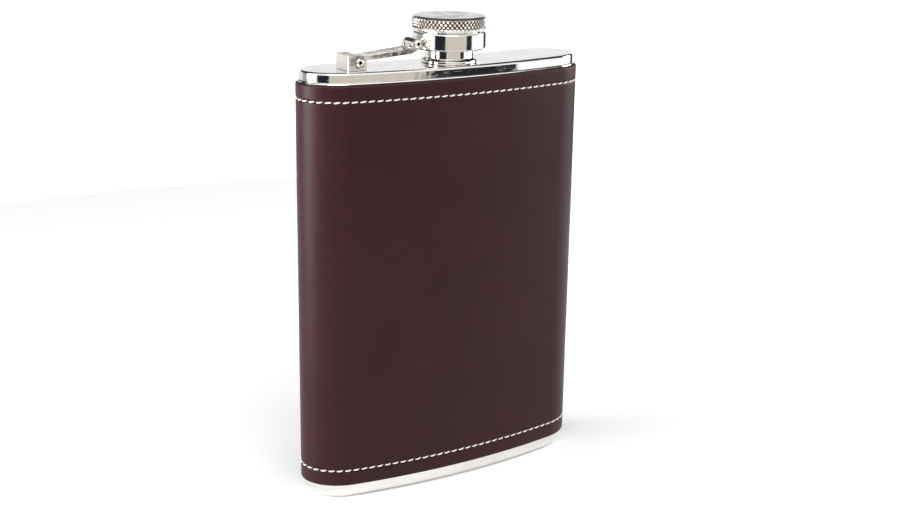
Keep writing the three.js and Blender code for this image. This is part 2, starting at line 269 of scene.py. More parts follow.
def steel(name, tint, smear, wave, scratches):
    """Polished sheet: soft waves in the surface, smears of handling, and fine hairlines."""
    material, nodes, place = finish(name)
    sway = clouds(nodes, place, 75, detail=1.0) + clouds(nodes, place, 310, detail=1.0) * 0.12
    smudges = clouds(nodes, place, 190, detail=4.0, roughness=0.65)
    hairs = clouds(nodes, stretched(nodes, place, (60, 1900, 1900)), 1, detail=2.0)
    hairline = nodes.smooth(hairs, 0.60, 0.72)
    roughness = smear * 0.35 + nodes.smooth(smudges, 0.35, 0.75) * smear + hairline * scratches
    dark = tuple(0.88 * shade for shade in tint)
    colour = nodes.blend(nodes.smooth(smudges, 0.3, 0.8), (*tint, 1), (*dark, 1))
    waved = bump(nodes, sway, wave)
    surface(nodes, {
        "Base Color": colour, "Metallic": 1.0, "Roughness": roughness,
        "Normal": bump(nodes, hairline, 0.00002, 0.2, waved)})
    return material


def lathe_steel(name, tint, smear, lines):
    """Turned steel: fine rings about the neck's axis, left by the tool and half polished away."""
    material, nodes, place = finish(name)
    height = nodes.add("SeparateXYZ", inputs={"Vector": place}, output=2)
    rings = nodes.add("TexNoise", {"noise_dimensions": "1D"}, {
        "W": (off_axis(nodes, place) + height) * 9000, "Scale": 1.0, "Detail": 3.0})
    smudges = clouds(nodes, place, 260, detail=3.0)
    roughness = smear * 0.4 + rings * smear * 0.6 + nodes.smooth(smudges, 0.4, 0.8) * smear * 0.6
    dark = tuple(0.85 * shade for shade in tint)
    surface(nodes, {
        "Base Color": nodes.blend(rings, (*dark, 1), (*tint, 1)), "Metallic": 1.0, "Roughness": roughness,
        "Normal": bump(nodes, rings, lines)})
    return material


neck_low, neck_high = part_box("neck")
NECK_AXIS = Vector((0, (neck_low.y + neck_high.y) / 2, 0))

sheet_steel = steel("polished_sheet", (0.81, 0.795, 0.775), 0.08, 0.0005, 0.10)
hinge_steel = steel("hinge_sheet", (0.88, 0.85, 0.80), 0.33, 0.00025, 0.08)
drawn_steel = steel("drawn_sheet", (0.55, 0.54, 0.52), 0.45, 0.0002, 0.25)
turned_steel = lathe_steel("turned_steel", (0.86, 0.84, 0.81), 0.08, 0.000003)
satin_steel = lathe_steel("satin_steel", (0.86, 0.85, 0.83), 0.30, 0.000006)

# the valleys of the knurl are painted dark as shade, and its crests keep the bright steel colour with a
# smoother polish
knurled_steel, nodes, place = finish("knurled_steel")
wear_and_painted_shade = nodes.smooth(off_axis(nodes, place) + clouds(nodes, place, 900) * 0.00012, 0.01076, 0.01096)
surface(nodes, {
    "Base Color": nodes.blend(wear_and_painted_shade, (0.06, 0.040, 0.028, 1), (0.80, 0.75, 0.69, 1)), "Metallic": 1.0,
    "Roughness": 0.42 - wear_and_painted_shade * 0.26})

table_paper, nodes, place = finish("table_paper")
fibres = clouds(nodes, place, 900, detail=4.0)
surface(nodes, {
    "Base Color": nodes.blend(fibres, (0.95, 0.95, 0.95, 1), (0.98, 0.98, 0.98, 1)),
    "Roughness": 0.8, "Specular IOR Level": 0.2, "Normal": bump(nodes, fibres, 0.00005, 0.2)})
table.data.materials.append(table_paper)


# ---- body outline ------------------------------------------------------------------------------
# The flask is a flat oval bent to fit a pocket: two long arcs, and two half ellipses that close the ends.

BEND_RADIUS = 200 * MM
END_REACH = 13.2 * MM
wrap_low, wrap_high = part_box("leather_wrap")
WIDTH = wrap_high.x - wrap_low.x
HALF_DEPTH = 10.8 * MM
STEEL_INSET = 1.15 * MM
SAMPLES = 360


def end_angle():
    angle = 0.0
    for _ in range(20):
        end = math.hypot(END_REACH * math.cos(angle), HALF_DEPTH * math.sin(angle))
        angle = math.asin((WIDTH / 2 - end) / BEND_RADIUS)
    return angle


END_ANGLE = end_angle()
END_MIDDLE = Vector((BEND_RADIUS * math.sin(END_ANGLE), BEND_RADIUS * (1 - math.cos(END_ANGLE))))


def arc_point(angle, radius, outward):
    """A point and its outward normal on one of the long arcs; angle 0 is the middle of the flask."""
    spoke = Vector((math.sin(angle), -math.cos(angle)))
    return Vector((0, BEND_RADIUS)) + spoke * radius, spoke * outward


def end_point(angle, side):
    """The same on a rounded end; the angle runs from the concave side to the convex side."""
    lean = side * END_ANGLE
    reach, across = END_REACH * math.sin(angle), HALF_DEPTH * math.cos(angle)
    along_axis = Vector((side * math.cos(lean), side * math.sin(lean)))
    to_back = Vector((-math.sin(lean), math.cos(lean)))
    middle = Vector((side * END_MIDDLE.x, END_MIDDLE.y))
    normal = along_axis * (math.sin(angle) / END_REACH) + to_back * (math.cos(angle) / HALF_DEPTH)
    return middle + along_axis * reach + to_back * across, normal.normalized()


def trace_outline():
    """Points and normals from the middle of the back, past the left end and the front, and back again."""
    steps = [k / SAMPLES for k in range(SAMPLES)]
    line = [arc_point(-t * END_ANGLE, BEND_RADIUS - HALF_DEPTH, -1) for t in steps]
    line += [end_point(t * math.pi, -1) for t in steps]
    line += [arc_point((2 * t - 1) * END_ANGLE, BEND_RADIUS + HALF_DEPTH, 1) for t in steps]
    line += [end_point((1 - t) * math.pi, 1) for t in steps]
    line += [arc_point((1 - t) * END_ANGLE, BEND_RADIUS - HALF_DEPTH, -1) for t in steps]
    return line + line[:1]


OUTLINE = trace_outline()
LENGTHS = [0.0]
for (point, _), (following, _) in zip(OUTLINE, OUTLINE[1:]):
    LENGTHS.append(LENGTHS[-1] + (following - point).length)
GIRTH = LENGTHS[-1]


def station(distance):
    """The point and the outward normal at a distance round the outline, over the leather."""
    distance %= GIRTH
    low, high = 0, len(LENGTHS) - 1
    while high - low > 1:
        middle = (low + high) // 2
        low, high = (middle, high) if LENGTHS[middle] <= distance else (low, middle)
    share = (distance - LENGTHS[low]) / (LENGTHS[high] - LENGTHS[low])
    point = OUTLINE[low][0].lerp(OUTLINE[high][0], share)
    normal = OUTLINE[low][1].lerp(OUTLINE[high][1], share).normalized()
    return point, normal


def wrapped(distance, height, outward):
    """Where a point of a flat strip ends up when the strip is wrapped round the flask."""
    point, normal = station(distance)
    point = point + normal * outward
    return Vector((point.x, point.y + NECK_AXIS.y, height))


# ---- shoulder pan ------------------------------------------------------------------------------
# The lid of the body, drawn from polished stainless sheet, with a crisp upper edge.
# It is welded to the sleeve under the leather, and a small bead above the leather covers its edge.

BODY_POINTS = 240
SHEET = 0.6 * MM


def new_piece(operator, **settings):
    """Adds a primitive with nothing else selected, and puts its place into its mesh."""
    bpy.ops.object.select_all(action="DESELECT")
    operator(**settings)
    bpy.ops.object.transform_apply(location=True, rotation=True, scale=True)
    return bpy.context.object


def only(piece):
    """Selects one piece and makes it the active one."""
    bpy.ops.object.select_all(action="DESELECT")
    bpy.context.view_layer.objects.active = piece
    piece.select_set(True)


def edit(piece):
    only(piece)
    bpy.ops.object.mode_set(mode="EDIT")


def done():
    bpy.ops.object.mode_set(mode="OBJECT")


def middle_of(item):
    if isinstance(item, bmesh.types.BMVert):
        return item.co
    return sum((vertex.co for vertex in item.verts), Vector()) / len(item.verts)


def pick(piece, kind, test):
    """In edit mode, selects only the vertices, edges or faces that pass a test on the item and its middle."""
    bpy.ops.mesh.select_mode(type=kind)
    bpy.ops.mesh.select_all(action="DESELECT")
    mesh = bmesh.from_edit_mesh(piece.data)
    items = {"VERT": mesh.verts, "EDGE": mesh.edges, "FACE": mesh.faces}[kind]
    for item in items:
        if test(item, middle_of(item)):
            item.select_set(True)
    mesh.select_flush_mode()
    bmesh.update_edit_mesh(piece.data)


def modify(piece, kind, **settings):
    """Adds a modifier and applies it at once."""
    modifier = piece.modifiers.new(kind.lower(), kind)
    for name, setting in settings.items():
        setattr(modifier, name, setting)
    only(piece)
    bpy.ops.object.modifier_apply(modifier=modifier.name)


def cut(piece, tool, operation="DIFFERENCE"):
    """Takes a tool away from a piece, or joins it on, and removes the tool."""
    modify(piece, "BOOLEAN", object=tool, operation=operation, solver="EXACT")
    bpy.data.objects.remove(tool)


def smooth(piece, degrees=32):
    """Smooth shading with creases, and flat faces that keep their own normal beside rounded edges."""
    only(piece)
    bpy.ops.object.shade_smooth_by_angle(angle=math.radians(degrees))
    modify(piece, "WEIGHTED_NORMAL", keep_sharp=True)


def fit(piece, name, body, slot, material, *nodes):
    """Names a finished piece, gives it its material and body, and puts it in place of its CAD nodes."""
    piece.name = name
    piece.data.name = name
    if material not in piece.data.materials[:]:
        piece.data.materials.append(material)
    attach(piece, body)
    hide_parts(*nodes)
    return piece


def body_prism(levels):
    """A cylinder primitive whose rings go onto the body's outline, each at its own height and depth."""
    low, high = levels[0][0], levels[-1][0]
    prism = new_piece(bpy.ops.mesh.primitive_cylinder_add, vertices=BODY_POINTS, radius=1, depth=high - low,
                      location=(0, 0, (low + high) / 2))
    edit(prism)
    for height, _ in levels[1:-1]:
        bpy.ops.mesh.select_all(action="SELECT")
        bpy.ops.mesh.bisect(plane_co=(0, 0, height), plane_no=(0, 0, 1))
    done()
    for vertex in prism.data.vertices:
        share = math.atan2(vertex.co.y, vertex.co.x) / (2 * math.pi)
        _, inset = min(levels, key=lambda entry: abs(entry[0] - vertex.co.z))
        vertex.co = wrapped(share * GIRTH, vertex.co.z, -inset)
    return prism


def level(height):
    """A test for edges or faces that lie flat at a height."""
    return lambda item, middle: all(abs(vertex.co.z - height) < 1e-6 for vertex in item.verts)


shoulder_low, shoulder_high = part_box("shoulder_pan")
SHOULDER = shoulder_high.z
SHOULDER_EDGE = 0.8 * MM
NECK_HOLE = 6.5 * MM
# heights over the leather's edge, and how far the bead stands out there, in millimetres
BEAD = [(0.10, 0), (0.14, 0.42), (0.38, 0.50), (0.62, 0.38), (0.85, 0)]

levels = [(wrap_high.z + rise * MM, STEEL_INSET - swell * MM) for rise, swell in BEAD]
shoulder = body_prism([(shoulder_low.z, STEEL_INSET), *levels, (SHOULDER, STEEL_INSET)])
edit(shoulder)
pick(shoulder, "EDGE", level(SHOULDER))
bpy.ops.mesh.bevel(offset=SHOULDER_EDGE, segments=6, affect="EDGES")
pick(shoulder, "FACE", level(SHOULDER))
bpy.ops.mesh.inset(thickness=0.15 * MM)
pick(shoulder, "FACE", level(shoulder_low.z))
bpy.ops.mesh.delete(type="ONLY_FACE")
done()
modify(shoulder, "SOLIDIFY", thickness=SHEET, offset=-1)
hole = new_piece(bpy.ops.mesh.primitive_cylinder_add, vertices=96, radius=NECK_HOLE, depth=20 * MM,
                 location=(0, NECK_AXIS.y, SHOULDER))
cut(shoulder, hole)
smooth(shoulder)
fit(shoulder, "polished_shoulder", "flask", "polished_steel", sheet_steel, "shoulder_pan")


# ---- base pan ----------------------------------------------------------------------------------
# The bottom of the body, drawn from the same sheet with a round lower edge, and welded under the leather.
# Its middle is pressed in a little, so that the flask stands on a flat rim.

_, base_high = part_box("base_pan")
BASE_EDGE = 2.3 * MM
BASE_RIM = 4.0 * MM
BASE_RECESS = 0.5 * MM

base = body_prism([(0, STEEL_INSET), (base_high.z, STEEL_INSET)])
edit(base)
pick(base, "EDGE", level(0))
bpy.ops.mesh.bevel(offset=BASE_EDGE, segments=10, affect="EDGES")
pick(base, "FACE", level(0))
bpy.ops.mesh.inset(thickness=0.2 * MM)
bpy.ops.mesh.inset(thickness=BASE_RIM - 0.4 * MM)
bpy.ops.mesh.inset(thickness=BASE_RECESS)
bpy.ops.transform.translate(value=(0, 0, BASE_RECESS))
bpy.ops.mesh.inset(thickness=0.2 * MM)
pick(base, "FACE", level(base_high.z))
bpy.ops.mesh.delete(type="ONLY_FACE")
done()
modify(base, "SOLIDIFY", thickness=SHEET, offset=-1)
smooth(base)
fit(base, "polished_base", "flask", "polished_steel", sheet_steel, "base_pan")


# ---- body sleeve -------------------------------------------------------------------------------
# The tube between the two pans, rolled from sheet. The leather hides it, so only the spout shows its inside.

sleeve = frame["nodes"]["body_sleeve"]
sleeve.data.materials.clear()
sleeve.data.materials.append(drawn_steel)


# ---- leather wrap ------------------------------------------------------------------------------
# One sheet of smooth burgundy leather, stretched round the sleeve and glued. Its ends are butted at the back.
# Its edges are rounded and painted, and the stitches are pulled down into a shallow line.

LEATHER = 1.0 * MM
SLIT = 0.4 * MM
EDGE_ROUND = 0.45 * MM
PITCH = 2.55 * MM
row_low, row_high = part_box("bottom_stitching")
BOTTOM_ROW = (row_low.z + row_high.z) / 2
row_low, row_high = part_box("top_stitching")
TOP_ROW = (row_low.z + row_high.z) / 2
SEAM_ROW = 3.5 * MM
LINE_DEPTH = 0.22 * MM
LINE_WIDTH = 0.8 * MM
HOLE_DEPTH = 0.25 * MM
HOLE_SPREAD = 0.35 * MM
LEVEL_STITCHES = round((GIRTH - 2 * SEAM_ROW) / PITCH)
UPRIGHT_STITCHES = round((TOP_ROW - BOTTOM_ROW) / PITCH)


def leather_finish(name, shade, glaze, roughness):
    """Smooth hide: cloudy dye, fine grain with pores, a few long creases, and a waxed top coat."""
    material, nodes, place = finish(name)
    dye = clouds(nodes, place, 45, detail=5.0, roughness=0.6)
    fine = clouds(nodes, place, 700, detail=4.0, roughness=0.6)
    cells = nodes.add("TexVoronoi", {"feature": "DISTANCE_TO_EDGE"}, {"Vector": place, "Scale": 1500.0})
    grain = nodes.smooth(cells, 0.0, 0.12)
    pores = nodes.smooth(clouds(nodes, place, 2600, detail=1.0), 0.66, 0.72)
    creases = nodes.smooth(clouds(nodes, stretched(nodes, place, (380, 380, 55)), 1, detail=3.0), 0.62, 0.70)
    deep = tuple(0.72 * tone for tone in shade)
    warm = nodes.blend(nodes.smooth(dye, 0.32, 0.70), (*deep, 1), (*shade, 1))
    wear_and_painted_shade = nodes.blend(fine * 0.35, warm, (*glaze, 1))
    height = grain * 0.5 + fine * 0.4 - pores * 0.6 - creases * 0.25
    surface(nodes, {
        "Base Color": wear_and_painted_shade,
        "Roughness": roughness + fine * 0.12 + nodes.smooth(dye, 0.3, 0.7) * 0.06,
        "Specular IOR Level": 0.165,
        "Normal": bump(nodes, height, 0.00003, 0.5)})
    return material


burgundy = leather_finish("burgundy_leather", (0.028, 0.0059, 0.0084), (0.036, 0.0096, 0.0125), 0.34)
edge_paint = leather_finish("leather_edge_paint", (0.045, 0.018, 0.017), (0.060, 0.028, 0.026), 0.45)


def wrap_heights():
    """Rows of the leather sheet: close together at its edges and at the stitches, and wide apart between."""
    near_edge = [0, 0.07, 0.18, 0.32, 0.5, 1.0, 2.0, 3.0]
    near_row = [-1.1, -0.8, -0.55, -0.35, -0.18, 0, 0.18, 0.35, 0.55, 0.8, 1.1]
    rows = [wrap_low.z + step * MM for step in near_edge] + [wrap_high.z - step * MM for step in near_edge]
    rows += [height + step * MM for step in near_row for height in (BOTTOM_ROW, TOP_ROW)]
    span = TOP_ROW - BOTTOM_ROW
    rows += [BOTTOM_ROW + span * k / 38 for k in range(1, 38)]
    return sorted(rows)


def rounding(distance):
    """How far the surface falls back at a distance from a cut edge."""
    if distance >= EDGE_ROUND:
        return 0.0
    return EDGE_ROUND - math.sqrt(EDGE_ROUND ** 2 - (EDGE_ROUND - distance) ** 2)


def stitch_line(offset, run, first, pitch):
    """How deep a stitched line presses the leather, with a hole at each stitch's end."""
    groove = LINE_DEPTH * math.exp(-(offset / (LINE_WIDTH / 2)) ** 2)
    to_hole = (run - first + pitch / 2) % pitch - pitch / 2
    hole = HOLE_DEPTH * math.exp(-(offset ** 2 + to_hole ** 2) / HOLE_SPREAD ** 2)
    return groove + hole


LEVEL_PITCH = (GIRTH - 2 * SEAM_ROW) / LEVEL_STITCHES
UPRIGHT_PITCH = (TOP_ROW - BOTTOM_ROW) / UPRIGHT_STITCHES


def leather_depth(distance, height):
    """Depth of the leather's surface under the plain outline: its edges, its stitches and its softness."""
    depth = rounding(min(height - wrap_low.z, wrap_high.z - height))
    depth += rounding(min(distance, GIRTH - distance) - SLIT / 2)
    inside = SEAM_ROW - LINE_WIDTH < distance < GIRTH - SEAM_ROW + LINE_WIDTH
    for row in (BOTTOM_ROW, TOP_ROW):
        if inside and abs(height - row) < 3 * LINE_WIDTH:
            depth += stitch_line(height - row, distance, SEAM_ROW, LEVEL_PITCH)
    if BOTTOM_ROW < height < TOP_ROW:
        for row in (SEAM_ROW, GIRTH - SEAM_ROW):
            if abs(distance - row) < 3 * LINE_WIDTH:
                depth += stitch_line(distance - row, height, BOTTOM_ROW, UPRIGHT_PITCH)
    soft = noise.noise(Vector((distance * 60, height * 45, 0)))
    return depth + 0.05 * MM * (1 + soft)


def wrap_columns():
    """Columns of the sheet: six to a stitch, and closer at the slit and the seam."""
    close = [0.2, 0.27, 0.38, 0.52, 0.7, 1.2, 1.8, 2.4, 2.75,
             2.95, 3.15, 3.32, 3.5, 3.68, 3.85, 4.05, 4.3, 4.7]
    seam = [step * MM for step in close]
    start = seam[-1] + 0.3 * MM
    count = round((GIRTH - 2 * start) / (LEVEL_PITCH / 6))
    return seam + [start + (GIRTH - 2 * start) * k / count for k in range(count + 1)] + \
        [GIRTH - step for step in reversed(seam)]


columns, rows = wrap_columns(), wrap_heights()
leather = new_piece(bpy.ops.mesh.primitive_grid_add, x_subdivisions=len(columns) - 1,
                    y_subdivisions=len(rows) - 1, size=2)
modify(leather, "SOLIDIFY", thickness=1, offset=-1)
for vertex in leather.data.vertices:
    distance = columns[round((vertex.co.x + 1) / 2 * (len(columns) - 1))]
    height = rows[round((vertex.co.y + 1) / 2 * (len(rows) - 1))]
    outer = vertex.co.z > -0.5
    vertex.co = wrapped(distance, height, -leather_depth(distance, height) if outer else -LEATHER)
edit(leather)
bpy.ops.mesh.select_all(action="SELECT")
bpy.ops.mesh.normals_make_consistent(inside=False)
done()
leather.data.materials.append(burgundy)
leather.data.materials.append(edge_paint)
EDGE_BAND = 0.30 * MM
for face in leather.data.polygons:
    height = face.center.z
    at_slit = abs(face.center.x) < SLIT and face.center.y > 0
    if min(height - wrap_low.z, wrap_high.z - height) < EDGE_BAND or at_slit:
        face.material_index = 1
smooth(leather, 60)
fit(leather, "leather_sheet", "flask", "leather", burgundy, "leather_wrap")


# ---- stitches ----------------------------------------------------------------------------------
# Waxed off-white thread in straight lockstitch, a little slanted, each stitch dipping into its two holes.

THREAD = 0.47 * MM
STITCH = 1.95 * MM
SLANT = math.radians(7)

waxed, nodes, place = finish("waxed_thread")
fleck = clouds(nodes, place, 2500, detail=2.0)
lay = nodes.add("TexCoord", output=2)
strands = nodes.add("TexWave", {"bands_direction": "DIAGONAL"}, {
    "Vector": lay, "Scale": 3.2, "Distortion": 0.6})
surface(nodes, {
    "Base Color": nodes.blend(strands * 0.6 + fleck * 0.4, (0.62, 0.57, 0.50, 1), (0.93, 0.90, 0.85, 1)),
    "Roughness": 0.62 + fleck * 0.15, "Specular IOR Level": 0.3,
    "Normal": bump(nodes, strands, 0.00006, 0.6)})


def one_stitch():
    """A length of thread lying along X on the flat sheet, thinner and lower towards its ends."""
    stitch = new_piece(bpy.ops.mesh.primitive_cylinder_add, vertices=8, radius=THREAD / 2, depth=STITCH,
                       rotation=(0, math.pi / 2, 0))
    edit(stitch)
    pick(stitch, "EDGE", lambda edge, middle: abs(middle.x) < STITCH / 4)
    bpy.ops.mesh.subdivide_edgering(number_cuts=6)
    done()
    for vertex in stitch.data.vertices:
        share = abs(vertex.co.x) / (STITCH / 2)
        narrow = 1 - 0.45 * share ** 4
        vertex.co.y *= narrow
        vertex.co.z = vertex.co.z * narrow * 0.85 - 0.34 * MM * share ** 3
    return stitch


def stitched_row(name, node, start, pitch, count, place_at):
    """Copies one stitch along a row, each slightly different, and lays the row on the leather."""
    master = one_stitch()
    corners = [vertex.co.copy() for vertex in master.data.vertices]
    modify(master, "ARRAY", count=count, use_relative_offset=False, use_constant_offset=True,
           constant_offset_displace=(pitch, 0, 0))
    for index, vertex in enumerate(master.data.vertices):
        number = index // len(corners)
        corner = corners[index % len(corners)]
        jitter = noise.noise(Vector((number * 1.7, start * 900, 3.1)))
        lean = SLANT + math.radians(5) * jitter
        run = corner.x * (1 + 0.06 * jitter)
        along_row = start + (number + 0.5) * pitch + run * math.cos(lean) - corner.y * math.sin(lean)
        across_row = run * math.sin(lean) + corner.y * math.cos(lean)
        vertex.co = place_at(along_row, across_row, corner.z)
    edit(master)
    bpy.ops.mesh.select_all(action="SELECT")
    bpy.ops.mesh.normals_make_consistent(inside=False)
    done()
    smooth(master, 60)
    return fit(master, name, "flask", "thread", waxed, node)


THREAD_LIFT = -0.05 * MM
for name, node, height in (("lower_stitches", "bottom_stitching", BOTTOM_ROW),
                           ("upper_stitches", "top_stitching", TOP_ROW)):
    stitched_row(name, node, SEAM_ROW, LEVEL_PITCH, LEVEL_STITCHES,
                 lambda run, side, rise, height=height: wrapped(run, height + side, rise + THREAD_LIFT))
for name, node, column in (("seam_stitches_left", "seam_stitching_left", SEAM_ROW),
                           ("seam_stitches_right", "seam_stitching_right", GIRTH - SEAM_ROW)):
    stitched_row(name, node, BOTTOM_ROW, UPRIGHT_PITCH, UPRIGHT_STITCHES,
                 lambda run, side, rise, column=column: wrapped(column - side, run, rise + THREAD_LIFT))


# ---- spout -------------------------------------------------------------------------------------
# A turned stainless neck with a foot that is welded on the shoulder, and a screw thread at its mouth.

def turned(profile, steps=96, axis="Z", centre=NECK_AXIS):
    """Spins a profile of (radius, height) about the neck's axis, or about an axis along Y for the pins."""
    along_axis = Vector((0, 0, 1)) if axis == "Z" else Vector((0, 1, 0))
    spots = [centre + Vector((radius, 0, 0)) + along_axis * height for radius, height in profile]
    piece = new_piece(bpy.ops.mesh.primitive_plane_add, size=MM)
    edit(piece)
    bpy.ops.mesh.select_mode(type="VERT")
    bpy.ops.mesh.select_all(action="SELECT")
    bpy.ops.mesh.merge(type="CENTER")
    bpy.ops.transform.translate(value=spots[0])
    for spot, following in zip(spots, spots[1:]):
        bpy.ops.mesh.extrude_vertices_move(TRANSFORM_OT_translate={"value": following - spot})
    bpy.ops.mesh.select_all(action="SELECT")
    bpy.ops.mesh.spin(steps=steps, angle=2 * math.pi, center=centre, axis=along_axis)
    bpy.ops.mesh.select_all(action="SELECT")
    bpy.ops.mesh.remove_doubles(threshold=1e-6)
    bpy.ops.mesh.normals_make_consistent(inside=False)
    done()
    return piece


def closed(profile):
    return [*profile, profile[0]]


def above_shoulder(profile):
    return [(radius * MM, SHOULDER + height * MM) for radius, height in profile]


def bevelled(piece, width, segments=3, degrees=30):
    modify(piece, "BEVEL", width=width, segments=segments, limit_method="ANGLE",
           angle_limit=math.radians(degrees), harden_normals=False)


def screw_ridge(root, crest, low, turns, pitch):
    """A helical ridge from the root radius to the crest radius, which fades out at both ends."""
    profile = [
        (root, low), (crest, low + 0.45 * pitch), (crest, low + 0.6 * pitch), (root, low + pitch * 0.98)]
    ridge = new_piece(bpy.ops.mesh.primitive_plane_add, size=MM)
    in_plane_order = (profile[0], profile[1], profile[3], profile[2])
    for vertex, (radius, height) in zip(ridge.data.vertices, in_plane_order):
        vertex.co = (radius, 0, height)
    steps = round(72 * turns)
    modify(ridge, "SCREW", axis="Z", angle=2 * math.pi * turns, screw_offset=pitch * turns, steps=steps,
           render_steps=steps, iterations=1, use_smooth_shade=True)
    for vertex in ridge.data.vertices:
        radius = math.hypot(vertex.co.x, vertex.co.y)
        into = min(1, (vertex.co.z - low) / pitch, (low + pitch * (turns + 1) - vertex.co.z) / pitch)
        scale = (root + (radius - root) * max(0.05, into)) / radius
        vertex.co = (vertex.co.x * scale, vertex.co.y * scale + NECK_AXIS.y, vertex.co.z)
    edit(ridge)
    bpy.ops.mesh.select_all(action="SELECT")
    bpy.ops.mesh.fill_holes(sides=4)
    bpy.ops.mesh.normals_make_consistent(inside=False)
    done()
    return ridge


def join(piece, other):
    only(piece)
    other.select_set(True)
    bpy.ops.object.join()


THREAD_PITCH = 1.2 * MM
THREAD_TURNS = 1.6

spout = turned(closed(above_shoulder([
    (5.6, -1.6), (6.4, -1.6), (6.4, 0.03), (8.3, 0.03), (8.3, 0.9),
    (7.2, 1.5), (7.2, 4.2), (6.5, 4.5), (6.5, 8.0), (5.6, 8.0),
])))
bevelled(spout, 0.18 * MM)
smooth(spout)
join(spout, screw_ridge(6.48 * MM, 6.9 * MM, SHOULDER + 4.6 * MM, THREAD_TURNS, THREAD_PITCH))
fit(spout, "spout", "flask", "turned_steel", turned_steel, "neck")


# ---- hinge bracket -----------------------------------------------------------------------------
# A clevis folded from sheet, with a closed back, spot welded on the shoulder.
# The arm's lower rivet goes through it.

def plate(points, width):
    """A shape drawn in X and Z above the shoulder, as thick as width, with the neck's axis in its middle."""
    piece = new_piece(bpy.ops.mesh.primitive_circle_add, vertices=len(points), radius=1, fill_type="NGON")
    for vertex, (x, z) in zip(piece.data.vertices, points):
        vertex.co = (x * MM, NECK_AXIS.y - width / 2, SHOULDER + z * MM)
    edit(piece)
    bpy.ops.mesh.select_all(action="SELECT")
    bpy.ops.mesh.extrude_region_move(TRANSFORM_OT_translate={"value": (0, width, 0)})
    bpy.ops.mesh.select_all(action="SELECT")
    bpy.ops.mesh.normals_make_consistent(inside=False)
    done()
    return piece


def arc(x, z, radius, start, end, count=12):
    """Points of an arc in degrees, for a plate's outline."""
    angles = [math.radians(start + (end - start) * k / count) for k in range(count + 1)]
    return [(x + radius * math.cos(angle), z + radius * math.sin(angle)) for angle in angles]


def drill(piece, pivot, radius):
    """Cuts a round hole along Y for a rivet."""
    x, z = pivot
    bit = new_piece(bpy.ops.mesh.primitive_cylinder_add, vertices=48, radius=radius, depth=40 * MM,
                    location=(x * MM, NECK_AXIS.y, SHOULDER + z * MM), rotation=(math.pi / 2, 0, 0))
    cut(piece, bit)


def block(low, high):
    """A box between two corners, for cutting."""
    low, high = Vector(low), Vector(high)
    box = new_piece(bpy.ops.mesh.primitive_cube_add, size=1)
    for vertex in box.data.vertices:
        vertex.co = [a + (b - a) * (c + 0.5) for a, b, c in zip(low, high, vertex.co)]
    return box


def fold(piece, width, radius, bent):
    """Rounds the outer edges where the sheet is bent: those on either side whose middle passes a test."""
    edit(piece)
    pick(piece, "EDGE", lambda edge, middle: abs(abs(middle.y - NECK_AXIS.y) - width / 2) < 1e-6
         and bent(middle) and abs(edge.verts[0].co.y - edge.verts[1].co.y) < 1e-6)
    bpy.ops.mesh.bevel(offset=radius, segments=4, affect="EDGES")
    done()


def pivot_of(joint):
    """X and Z of a joint's axis, from the neck's axis and the top of the shoulder, in millimetres."""
    place = next(entry for entry in frame["joints"] if entry["name"] == joint)["pos_m"]
    return place[0] / MM, (place[2] - SHOULDER) / MM


LOWER_PIVOT = pivot_of("arm_swing")
UPPER_PIVOT = pivot_of("collar_tilt")
TIGHT_HOLE = 0.95 * MM
LOOSE_HOLE = 1.05 * MM
EDGE_BREAK = 0.08 * MM
BRACKET_SHEET = 0.6 * MM
BRACKET_FOLD = 0.5 * MM
bracket_low, bracket_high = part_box("hinge_bracket")
BRACKET_WIDTH = bracket_high.y - bracket_low.y
BRACKET_EYE = 2.2
BRACKET_LIFT = 0.05
pin_x, pin_z = LOWER_PIVOT
back_x = bracket_low.x / MM

bracket = plate([
    (back_x, BRACKET_LIFT), (pin_x + BRACKET_EYE, BRACKET_LIFT), *arc(pin_x, pin_z, BRACKET_EYE, 0, 90),
    (back_x, pin_z + BRACKET_EYE),
], BRACKET_WIDTH)
fold(bracket, BRACKET_WIDTH, BRACKET_FOLD, lambda middle: middle.x < bracket_low.x + 1e-6)
room = block((bracket_low.x + BRACKET_SHEET, bracket_low.y + BRACKET_SHEET, bracket_low.z + BRACKET_SHEET),
             (0, bracket_high.y - BRACKET_SHEET, bracket_high.z + BRACKET_SHEET))
cut(bracket, room)
drill(bracket, LOWER_PIVOT, TIGHT_HOLE)
bevelled(bracket, EDGE_BREAK, 2)
smooth(bracket)
fit(bracket, "hinge_clevis", "flask", "polished_steel", hinge_steel, "hinge_bracket")


# ---- pins --------------------------------------------------------------------------------------
# Two tubular steel rivets with low round heads: one through the bracket, one through the eyes of the arm.

RIVET_BORE = 0.5

# the near-black material in the rivets' bores is painted shade
painted_bore_shade, nodes, place = finish("painted_bore_shade")
surface(nodes, {
    "Base Color": (0.012, 0.009, 0.007, 1), "Roughness": 0.5 + clouds(nodes, place, 900) * 0.2,
    "Specular IOR Level": 0.3})


def rivet(pivot, cheeks, name, body, node):
    """A rivet with a rolled head and a blind bore at each end, and the bores are painted dark as shade."""
    x, z = pivot
    edge = cheeks / 2 / MM
    head = [
        (0, edge - 0.5), (RIVET_BORE, edge - 0.5), (RIVET_BORE, edge + 0.3), (0.58, edge + 0.38),
        (0.75, edge + 0.38), (1.0, edge + 0.28), (1.15, edge + 0.12), (1.15, edge + 0.03), (0.85, edge + 0.03),
    ]
    profile = [(radius * MM, reach * MM) for radius, reach in head]
    profile += [(radius, -reach) for radius, reach in reversed(profile)]
    centre = Vector((x * MM, NECK_AXIS.y, SHOULDER + z * MM))
    pin = turned(profile, steps=40, axis="Y", centre=centre)
    pin.data.materials.append(hinge_steel)
    pin.data.materials.append(painted_bore_shade)
    for face in pin.data.polygons:
        offset = face.center - centre
        face.material_index = 1 if math.hypot(offset.x, offset.z) < 1.01 * RIVET_BORE * MM else 0
    smooth(pin, 40)
    fit(pin, name, body, "turned_steel", hinge_steel, node)


